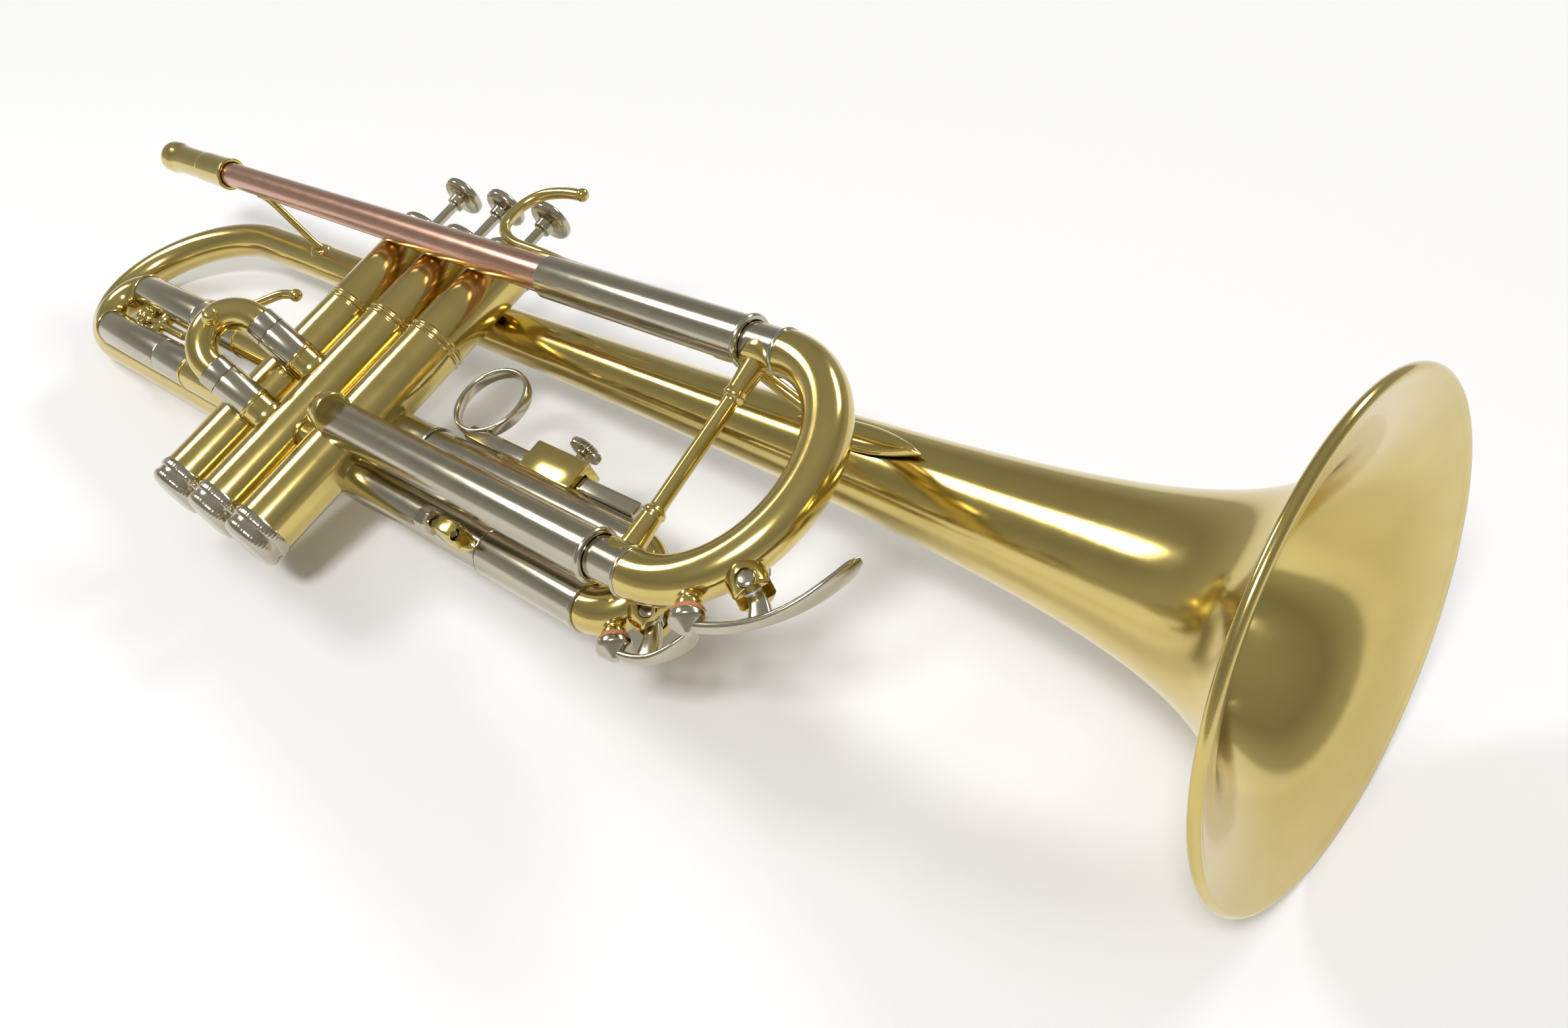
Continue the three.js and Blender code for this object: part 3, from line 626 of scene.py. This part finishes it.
def key_spring(prefix, slide, radial, side, pivot):
    """Wire coils beside the hub, and a leg that rests on the bow."""
    coils, radius, lead = 2.5, 2.7, 0.7
    turn = np.linspace(0, 1, 60)
    angle = 2 * np.pi * coils * turn
    coil = np.stack([pivot[0] + radius * np.cos(angle), pivot[1] - 2.1 + lead * turn,
                     pivot[2] + radius * np.sin(angle)], axis=1)
    end = coil[-1]
    leg = smooth_path([end, end + radial * 1 + side * -3.4, end + side * -6.2 + radial * 2.2,
                       end + side * -7.2 + radial * 0.4], 6)
    wire = sweep(np.vstack([coil, leg[1:]]), 0.38, sides=10, across=vec(0, 1, 0.1))
    piece(f"{prefix}_key_spring", [wire], "steel", slide)


def water_key(prefix, slide, bow, nipple_at, nipple_length, hinge_at, tip, bulge):
    """The parts of a water key; angles are in degrees below the bow's middle, tip is (x, z)."""
    body = f"{prefix}_key"
    place, out = on_bow(bow, nipple_at)
    pivot = joint_place(f"{prefix}_water_key")
    y = pivot[1]
    seat = vec(place[0], y, place[2]) + out * (nipple_length + 0.1)
    cork = softened([(0, 0), (4, 0), (4.3, 0.7), (4.2, 2.2), (0, 2.2)], 0.4)
    piece(f"{prefix}_key_cork_pad", [lathe(cork, seat, out, 48)], "cork", body, f"{prefix}_key_cork")
    key_lever(prefix, body, seat, out, tip, bulge, pivot)
    base, radial = on_bow(bow, hinge_at)
    side = np.cross(SIDEWAYS, radial)
    key_saddle(prefix, slide, vec(base[0], y, base[2]), radial, side, pivot)
    key_spring(prefix, slide, radial, side, pivot)


water_key("main", "main_slide", MAIN_BOW, -57, MAIN_NIPPLE, -35, (220.5, -17.5), 13)


# ---- bell ----
def bell():
    low, high = span("bell")
    y, z = (low[1:] + high[1:]) / 2
    rim_x, tail = high[0] - 1.1, low[0]
    scale, offset, power, wall = 149.8, 6.1, 0.503, 0.7
    stations = list(np.linspace(tail, 230, 60))
    radii = [scale * (rim_x + offset - x) ** -power for x in stations]
    for radius in np.linspace(radii[-1], 59.3, 70)[1:]:
        radii.append(radius)
        stations.append(rim_x + offset - (scale / radius) ** (1 / power))
    wire, wire_x, wire_r = 1.45, high[0] - 1.45, radii[-1] + 0.9
    outside = list(zip(radii, stations))
    slopes = np.gradient(np.array(radii), np.array(stations))
    turn = np.arctan(slopes)
    inside = [(r - wall * math.cos(a), x + wall * math.sin(a)) for (r, x), a in zip(outside, turn)]
    bead = [(wire_r + wire * math.sin(a), wire_x - wire * math.cos(a)) for a in np.linspace(0.2, 3.0, 18)]
    profile = outside[:-1] + bead + inside[:-1][::-1]
    flare = lathe(profile, vec(0, y, z), sides=192, closed=True)
    piece("bell_flare", [flare], "brass", "horn", "bell", sharp=70)
    return y, z, tail, scale * (rim_x + offset - tail) ** -power


BELL_Y, BELL_Z, BELL_TAIL, TAIL_RADIUS = bell()


def bell_bow():
    low, high = span("bell_bow")
    radius = 6.9
    low_z = low[2] + radius
    top, bottom = vec(-138, BELL_Y, BELL_Z), vec(-158, 13.4, low_z)
    path = np.vstack([
        np.linspace(vec(BELL_TAIL, BELL_Y, BELL_Z), top, 12)[:-1],
        half_turn(top, bottom, vec(-46.4, 0, 0), 96),
        np.linspace(bottom, vec(high[0], 11.6, low_z), 24)[1:],
    ])
    radii = np.interp(np.arange(len(path)), [0, 60, len(path)], [TAIL_RADIUS, 7.1, 6.7])
    piece("bell_bow_tube", [sweep(path, radii, bore=radii - 0.6, sides=72)], "brass", "horn", "bell_bow")


bell_bow()


# ---- braces and hooks ----
def brace_bar(start, end, waist, flare):
    length = np.linalg.norm(end - start)
    t = np.linspace(0, 1, 24)
    radii = waist + (flare - waist) * np.abs(2 * t - 1) ** 6
    profile = [(0, 0)] + [(r, length * s) for r, s in zip(radii, t)] + [(0, length)]
    return lathe(profile, start, end - start, 48)


def braces():
    _, _, lead_y, lead_z, _ = tube_of("leadpipe")
    start, end = vec(-112, lead_y + 3.6, lead_z - 2), vec(-96, BELL_Y - 5.6, BELL_Z + 1.8)
    bar = brace_bar(start, end, 1.45, 2.3)
    feet = [leaf(lead_y, lead_z, 5.02, -117, -107, -20, 48, 0.8),
            leaf(BELL_Y, BELL_Z, 7.3, -101, -91, 165, 40, 0.8)]
    piece("rear_brace_bar", [bar, *feet], "brass", "horn", "rear_brace")
    _, _, tube_y, tube_z, _ = tube_of("leadpipe_slide_tube")
    start, end = vec(147, tube_y + 5.6, tube_z - 1.4), vec(177, BELL_Y - 11.4, BELL_Z + 0.8)
    bar = brace_bar(start, end, 1.9, 2.7)
    bell_foot = leaf(BELL_Y, BELL_Z, 12.2, 163, 206, 178, 19, 1.8, blunt=0.9, taper=3.5)
    tube_foot = leaf(tube_y, tube_z, SLIDE_TUBE, 138, 153, -10, 44, 0.9)
    piece("front_brace_bar", [bar, bell_foot, tube_foot], "brass", "horn", "front_brace")
    y = lead_y
    hook = ((70, 32.8), (62, 33.3), (53, 33.7), (44, 34), (37.5, 35.7), (32.7, 39.2), (31.2, 44.5),
            (32.6, 51), (37.2, 56.1), (45, 58.7), (52, 59.5))
    path = smooth_path([vec(x, y, z) for x, z in hook])
    t = np.linspace(0, 1, len(path))
    radii = 1.2 + 0.75 * np.clip(t / 0.4, 0, 1)
    hook_foot = leaf(lead_y, lead_z, 6.0, 40, 84, 90, 22, 1.3, blunt=0.9, taper=0.75)
    tip = ball(path[-1] + vec(0.7, 0, 0.1), 2.3)
    piece("pinky_hook_rod", [sweep(path, radii, sides=32), tip, hook_foot], "brass", "horn", "pinky_hook")


braces()


# ---- first valve slide ----
def first_slide():
    for side in ("upper", "lower"):
        start, end, y, z, radius = tube_of(f"first_tube_{side}")
        elbow = {"upper": -58.7, "lower": -69.4}[side]
        place = vec(0, y, z)
        nickel = tube(place, [(radius, start, elbow)], 6.5)
        piece(f"first_tube_{side}_nickel", [nickel], "nickel_silver", "horn", f"first_tube_{side}")
        port = [(radius + 0.35, elbow - 0.6, elbow + 1), (radius, elbow + 1, end + 3)]
        piece(f"first_tube_{side}_port", [tube(place, port, 6.0)], "brass", "horn")
        start, end, y, z, radius = tube_of(f"first_leg_{side}")
        seam = tube_of(f"first_tube_{side}")[0] - 0.25
        leg = tube(place, [(radius, start - 0.3, seam), (INNER_TUBE, seam, end)], 5.6)
        piece(f"first_leg_{side}_body", [leg], "nickel_silver", "first_slide", f"first_leg_{side}")
    top, low = vec(start - 0.3, y, tube_of("first_leg_upper")[3]), vec(start - 0.3, y, z)
    path = half_turn(top, low, vec(-(top[2] - low[2]) / 2, 0, 0), 48)
    collars = [tube(vec(0, y, p[2]), [(7.3, p[0] - 1.5, p[0])], 6.2) for p in (top, low)]
    bow = sweep(path, BOW, bore=BOW_BORE, sides=64)
    piece("first_bow_tube", [bow, *collars], "brass", "first_slide", "first_bow")
    post = [(0, low[2] + 5), (2.9, low[2] + 5), (2.7, low[2] + 8), (2, low[2] + 10),
            (2, top[2] - 10), (2.7, top[2] - 8), (2.9, top[2] - 5), (0, top[2] - 5)]
    knob = [(0, -130), (2.4, -129.8), (3.9, -129), (4.25, -128), (3.9, -126.9), (2.9, -126.3),
            (2.9, -125.9), (3.9, -125.3), (4.25, -124.2), (3.9, -123.2), (2.6, -122.6), (1.75, -121.6),
            (1.7, -94.4), (0, -94.4)]
    stay = [lathe(softened(post, 0.5), vec(-114, y, 0), "z", 64),
            lathe(softened(knob, 0.3), vec(0, y, (top[2] + low[2]) / 2), "x", 64)]
    piece("first_slide_stay_knob", stay, "brass", "first_slide", "first_slide_stay")
    hook = ((-98, -25.4), (-90, -24), (-83, -23), (-76, -20.5), (-70, -14.5), (-64.5, -9.6), (-57.5, -7.6))
    rod = smooth_path([vec(x, y, z) for x, z in hook])
    hook_foot = leaf(y, top[2], SLIDE_TUBE, -104, -80, 90, 24, 1.1, blunt=0.9)
    parts = [sweep(rod, 1.8, sides=32), ball(rod[-1] + vec(0.8, 0, 0), 2.5), hook_foot]
    piece("thumb_hook_rod", parts, "brass", "first_slide", "thumb_hook")


first_slide()


# ---- second valve slide ----
def second_slide():
    away = vec(*(TO_PLAY.to_3x3() @ Vector(JOINTS["second_valve_slide"]["axis"])))
    away = unit(away)
    heights = {side: (span(f"second_tube_{side}")[0][2] + span(f"second_tube_{side}")[1][2]) / 2
               for side in ("upper", "lower")}
    across = np.cross(vec(0, 0, 1), away)
    for side, z in heights.items():
        place = vec(0, 0, z)
        collar = softened([(5.2, 16.6), (6.15, 16.6), (6.15, 28.9), (5.2, 28.9)], 0.25, closed=True)
        collar = lathe(collar, place, away, closed=True)
        piece(f"second_tube_{side}_collar", [collar], "nickel_silver", "horn", f"second_tube_{side}")
        neck = softened([(0, 8.5), (6.2, 8.5), (6.2, 15.4), (6.5, 15.8), (6.5, 16.8), (0, 16.8)], 0.4)
        neck = lathe(neck, place, away)
        elbow = ball(place + away * 9.5, 6.4)
        piece(f"second_tube_{side}_elbow", [neck, elbow], "brass", "horn")
    top, low = vec(0, 0, heights["upper"]), vec(0, 0, heights["lower"])
    leg_end = 34.4
    ferrule = softened([(5.2, 29), (6.15, 29), (6.15, leg_end), (5.8, leg_end + 0.6), (5.2, leg_end + 0.6)],
                       0.25, closed=True)
    ferrules = [lathe(ferrule, place, away, closed=True) for place in (top, low)]
    piece("second_slide_ferrules", ferrules, "nickel_silver", "second_slide")
    reach = (top[2] - low[2]) / 2
    path = np.vstack([
        np.linspace(top + away * 14, top + away * leg_end, 8)[:-1],
        half_turn(top + away * leg_end, low + away * leg_end, away * reach, 64),
        np.linspace(low + away * leg_end, low + away * 14, 8)[1:],
    ])
    bow = sweep(path, 5.55, bore=5, sides=64, across=across)
    apex = (top + low) / 2 + away * (leg_end + reach)
    pull = softened([(0, 3), (2.1, 3), (2, 5.6), (2.7, 6.1), (2.85, 6.8), (2.5, 7.4), (2.2, 7.7), (2.6, 8.1),
                     (2.75, 8.8), (2.4, 9.4), (2.1, 9.7), (2.5, 10.2), (2.6, 11), (2.2, 11.8), (1.2, 12.2),
                     (0, 12.3)], 0.3)
    piece("second_slide_bow", [bow, lathe(pull, apex, across, 48)], "brass", "second_slide", "second_slide")


second_slide()


# ---- third valve slide ----
def third_slide():
    for side in ("upper", "lower"):
        start, end, y, z, _ = tube_of(f"third_tube_{side}")
        place = vec(0, y, z)
        body = SLIDE_TUBE
        bead = {"upper": [(body + 0.55, end - 1.6, end)], "lower": [(body + 0.05, end - 0.6, end)]}[side]
        port_end = start + 4.2
        piece(f"third_tube_{side}_nickel", [tube(place, [(body, port_end, bead[0][1]), *bead], 6.5)],
              "nickel_silver", "horn", f"third_tube_{side}")
        port = [(body, start - 2, port_end - 1.4), (body + 0.35, port_end - 1.4, port_end)]
        piece(f"third_tube_{side}_port", [tube(place, port, 6.0)], "brass", "horn")
        leg_start, leg_end, y, z, _ = tube_of(f"third_leg_{side}")
        outline = [(INNER_TUBE, leg_start, end + 0.1), (body, end + 0.1, leg_end - 1.2),
                   (body + 0.3, leg_end - 1.2, leg_end + 0.2)]
        piece(f"third_leg_{side}_body", [tube(place, outline, 5.6)], "nickel_silver", "third_slide",
              f"third_leg_{side}")
    top, low = vec(leg_end + 0.2, y, tube_of("third_leg_upper")[3]), vec(leg_end + 0.2, y, z)
    reach = (top[2] - low[2]) / 2
    path = half_turn(top, low, vec(reach, 0, 0), 64)
    bow = (top, low, reach)
    parts = [sweep(path, BOW, bore=BOW_BORE, sides=64), nipple_on(bow, -46, THIRD_NIPPLE)]
    piece("third_bow_tube", parts, "brass", "third_slide", "third_bow")
    water_key("third", "third_slide", bow, -46, THIRD_NIPPLE, -12, (181.5, -46), 9)
    return y, tube_of("third_leg_upper")[3]


THIRD_Y, THIRD_Z = third_slide()


def finger_ring():
    """The wide, thin ring, the flat bar that it slides on, and the web between them."""
    centre = joint_place("finger_ring_reach")
    half_width, middle, half_thick = 2.25, 12.65, 0.95
    c, s = rounded_square(24, 2 / 0.7)
    loop = []
    for angle in np.linspace(0, 2 * np.pi, 97)[:-1]:
        out = vec(math.cos(angle), 0, math.sin(angle))
        section = np.outer(c * half_thick, out) + np.outer(s * half_width, SIDEWAYS)
        loop.append(centre + out * middle + section)
    band = skin(loop, loop=True)
    bar_low, bar_top = -25.9, -20.6
    end = span("finger_ring")[1][0]
    bar = box(vec(centre[0] + 1.5, THIRD_Y - 1.8, bar_low), vec(end, THIRD_Y + 1.8, bar_top), 0.9)
    gusset_path = smooth_path([vec(centre[0] + 2, THIRD_Y, -23.6), vec(centre[0] + 9, THIRD_Y, -22.4),
                               vec(centre[0] + 15, THIRD_Y, -23)], 6)
    height = np.linspace(1.2, 2.4, len(gusset_path))
    gusset = sweep(gusset_path, 1.5, height, sides=24, across=SIDEWAYS, power=3)
    piece("finger_ring_band", [band, bar, gusset], "nickel_silver", "finger_ring", "finger_ring")


def ring_guide():
    """The box that the ring's bar slides in, its foot on the leg, and its thumbscrew."""
    screw_at = joint_place("ring_screw_turn")
    x0, x1 = screw_at[0] - 14.5, screw_at[0] + 8.5
    shell = box(vec(x0, THIRD_Y - 4.2, -27.6), vec(x1, THIRD_Y + 4.2, -17.2), 0.4, "y")
    guide = object_from("ring_guide_box", [shell], "brass")
    bore = box(vec(x0 - 9, THIRD_Y - 2.15, -26.35), vec(x1 + 9, THIRD_Y + 2.15, -20.3), 0.4)
    carved(guide, object_from("channel_tool", [bore], "brass"))
    placed(guide, "third_slide", "ring_guide")
    foot = leaf(THIRD_Y, THIRD_Z, SLIDE_TUBE, x0 - 15, x1 + 6, 96, 38, 1.0, blunt=0.7)
    piece("ring_guide_foot", [foot], "brass", "third_slide")
    low, high = span("ring_screw")
    foot_z, top_z = low[2], high[2]
    shank = [(0, foot_z), (1.35, foot_z), (1.35, top_z - 3.6), (2.4, top_z - 3.3), (2.4, top_z - 2.6)]
    disc = [(4.6, top_z - 2.5), (5.3, top_z - 2.2, 1), (5.45, top_z - 1.7, 1), (5.45, top_z - 0.8, 1),
            (5.3, top_z - 0.3, 1), (4.6, top_z), (3.4, top_z), (3, top_z - 0.4), (0, top_z - 0.4)]
    knurls = 32
    screw = lathe(shank + disc, vec(screw_at[0], screw_at[1], 0), "z", knurls * 6, knurls, 0.6)
    piece("ring_screw_body", [screw], "nickel_silver", "ring_screw", "ring_screw", sharp=50)


finger_ring()
ring_guide()


def lyre():
    low, high = span("lyre_holder")
    centre = joint_place("lyre_screw_turn")
    y, z = centre[1], centre[2]
    block = box(vec(low[0] + 0.5, low[1], low[2]), vec(high[0] - 0.5, high[1] - 1.5, high[2]), 0.9)
    lug = box(vec(low[0] + 2, y + 1, z), vec(high[0] - 2, y + 6.5, z + 3.4), 0.8)
    tube_y, tube_z = tube_of("third_tube_lower")[2:4]
    foot = leaf(tube_y, tube_z, SLIDE_TUBE, low[0] - 4, high[0] + 4, 205, 30, 0.9)
    holder = object_from("lyre_holder_block", [block], "brass")
    start, end = low[0] - 5, high[0] + 5
    hole = lathe([(0, start), (1.9, start), (1.9, end), (0, end)], vec(0, y, z), sides=32)
    carved(holder, object_from("hole_tool", [hole], "brass"))
    placed(holder, "horn", "lyre_holder")
    piece("lyre_holder_lug", [lug, foot], "brass", "horn")
    low, high = span("lyre_screw")
    head = [(0, low[0]), (3.8, low[0]), (4.35, low[0] + 0.7), (4.35, low[0] + 4.6), (3.8, low[0] + 5.2),
            (1.5, low[0] + 5.6), (1.5, high[0]), (0, high[0])]
    hexagon = lathe(head, vec(0, y, z), sides=8)
    piece("lyre_screw_body", [hexagon], "nickel_silver", "lyre_screw", "lyre_screw", sharp=20)


lyre()


# ---- camera, floor and light ----
def add_camera():
    """The camera's place, aim and up direction are given in the playing frame."""
    camera = bpy.data.cameras.new("camera")
    camera.sensor_width = 36.0
    camera.lens = 32.19
    camera.shift_x = 0.1207
    camera.shift_y = -0.0724
    camera.clip_start = 0.01
    seen = bpy.data.objects.new("camera", camera)
    place = PLAY @ Vector((397.3, -267.2, -129.6))
    target = PLAY @ Vector((81.2, 21.0, 10.13))
    up = PLAY.to_3x3() @ Vector((-0.2673, -0.6416, 0.719))
    look = (target - place).normalized()
    right = look.cross(up).normalized()
    turn = Matrix([right, right.cross(look), -look]).transposed().to_4x4()
    seen.matrix_world = Matrix.Translation(place) @ turn
    bpy.context.scene.collection.objects.link(seen)
    bpy.context.scene.camera = seen


def add_floor():
    floor_mesh = bpy.data.meshes.new("floor")
    half = 30.0
    corners = [(-half, -half, 0), (half, -half, 0), (half, half, 0), (-half, half, 0)]
    floor_mesh.from_pydata(corners, [], [(0, 1, 2, 3)])
    floor = bpy.data.objects.new("floor", floor_mesh)
    paint = bpy.data.materials.new("floor_paint")
    paint.use_nodes = True
    shader = paint.node_tree.nodes["Principled BSDF"]
    shader.inputs["Base Color"].default_value = (0.93, 0.93, 0.95, 1)
    shader.inputs["Roughness"].default_value = 0.9
    shader.inputs["Specular IOR Level"].default_value = 0.1
    floor_mesh.materials.append(paint)
    bpy.context.scene.collection.objects.link(floor)


def add_world():
    """A soft room: pale near the floor and overhead, dimmer between."""
    world = bpy.data.worlds.new("studio")
    world.use_nodes = True
    nodes, links = world.node_tree.nodes, world.node_tree.links
    place_node = nodes.new("ShaderNodeTexCoord")
    split = nodes.new("ShaderNodeSeparateXYZ")
    ramp = nodes.new("ShaderNodeValToRGB")
    links.new(place_node.outputs["Generated"], split.inputs["Vector"])
    links.new(split.outputs["Z"], ramp.inputs["Fac"])
    stops = ((0.0, 0.46), (0.12, 0.42), (0.4, 0.27), (0.7, 0.33), (1.0, 0.4))
    while len(ramp.color_ramp.elements) < len(stops):
        ramp.color_ramp.elements.new(0.5)
    for element, (position, grey) in zip(ramp.color_ramp.elements, stops):
        element.position = position
        element.color = (grey, grey * 0.98, grey * 0.9, 1)
    links.new(ramp.outputs["Color"], nodes["Background"].inputs["Color"])
    nodes["Background"].inputs["Strength"].default_value = 1.0
    bpy.context.scene.world = world


def softbox(name, where, size, power):
    """An area light at a place in metres, aimed at the middle of the floor, of a power in watts."""
    light = bpy.data.lights.new(name, "AREA")
    light.shape = "RECTANGLE"
    light.size, light.size_y = size
    light.energy = power
    made = bpy.data.objects.new(name, light)
    made.location = where
    made.rotation_euler = (-Vector(where)).to_track_quat("-Z", "Y").to_euler()
    bpy.context.scene.collection.objects.link(made)


add_camera()
add_floor()
add_world()
softbox("key", (0.5, -0.9, 1.6), (0.45, 0.3), 19.0)
softbox("fill", (-1.3, -0.3, 1.3), (0.5, 0.5), 9.0)
softbox("back", (0.3, 1.5, 1.2), (0.8, 0.3), 9.0)
bpy.context.scene.view_settings.view_transform = "Standard"
